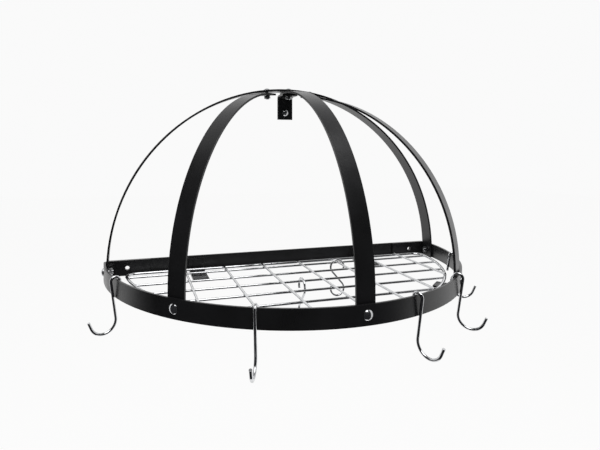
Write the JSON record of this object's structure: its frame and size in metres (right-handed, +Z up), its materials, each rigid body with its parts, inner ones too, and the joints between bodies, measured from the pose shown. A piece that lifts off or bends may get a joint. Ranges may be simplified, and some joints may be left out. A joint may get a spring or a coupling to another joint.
{
  "type": "wall pot rack",
  "caption": "Wall-hung half-dome pot rack: flat-bar ring, arch and ribs bolted together, a lift-out wire shelf, and hooks that slide round the ring or swing from the shelf.",
  "frame": {"origin": "midway between the two wall-screw holes, on the wall plane", "axes": "+X to the right along the wall seen from the room, +Y into the wall, +Z up"},
  "size_m": [0.6338, 0.3288, 0.3742],
  "materials": {
    "bar_coat": "semi-gloss black powder coat on steel flat bar",
    "wire_plate": "bright plated steel wire",
    "bolt_plate": "bright plated steel fasteners"
  },
  "bodies": {
    "frame": {"front_ring": "bar_coat", "back_rail": "bar_coat", "support_left": "bar_coat", "support_right": "bar_coat", "back_arch": "bar_coat", "rib_left": "bar_coat", "rib_middle": "bar_coat", "rib_right": "bar_coat", "wall_bracket": "bar_coat", "bracket_screw": "bolt_plate", "ring_bolts": "bolt_plate", "ring_nuts": "bolt_plate", "crown_bolts": "bolt_plate", "crown_nuts": "bolt_plate"},
    "shelf": {"shelf_rim": "wire_plate", "shelf_long_wires": "wire_plate", "shelf_cross_wires": "wire_plate"},
    "hook_left": {"hook_left": "wire_plate"},
    "hook_front_left": {"hook_front_left": "wire_plate"},
    "hook_front_right": {"hook_front_right": "wire_plate"},
    "hook_right": {"hook_right": "wire_plate"},
    "hook_back_right": {"hook_back_right": "wire_plate"},
    "shelf_hook_back": {"shelf_hook_back": "wire_plate"},
    "shelf_hook_front": {"shelf_hook_front": "wire_plate"}
  },
  "joints": [
    {"name": "shelf_lift", "type": "slide", "parent": "frame", "child": "shelf", "axis": [0, 0, 1], "range_m": [0, 0.03]},
    {"name": "hook_left_slide_round", "type": "hinge", "parent": "frame", "child": "hook_left", "pos_m": [0, 0, 0], "axis": [0, 0, 1], "range_deg": [-14, 21]},
    {"name": "hook_front_left_slide_round", "type": "hinge", "parent": "frame", "child": "hook_front_left", "pos_m": [0, 0, 0], "axis": [0, 0, 1], "range_deg": [-16.5, 21.5]},
    {"name": "hook_front_right_slide_round", "type": "hinge", "parent": "frame", "child": "hook_front_right", "pos_m": [0, 0, 0], "axis": [0, 0, 1], "range_deg": [-11.5, 11.5]},
    {"name": "hook_right_slide_round", "type": "hinge", "parent": "frame", "child": "hook_right", "pos_m": [0, 0, 0], "axis": [0, 0, 1], "range_deg": [-10.5, 0.5]},
    {"name": "hook_back_right_slide_round", "type": "hinge", "parent": "frame", "child": "hook_back_right", "pos_m": [0, 0, 0], "axis": [0, 0, 1], "range_deg": [-19.5, 15.5]},
    {"name": "shelf_hook_back_swing", "type": "hinge", "parent": "shelf", "child": "shelf_hook_back", "pos_m": [0.09, -0.052, -0.0035], "axis": [0, 1, 0], "range_deg": [-30, 30]},
    {"name": "shelf_hook_front_swing", "type": "hinge", "parent": "shelf", "child": "shelf_hook_front", "pos_m": [-0.008, -0.133, -0.0068], "axis": [1, 0, 0], "range_deg": [-30, 30]}
  ]
}
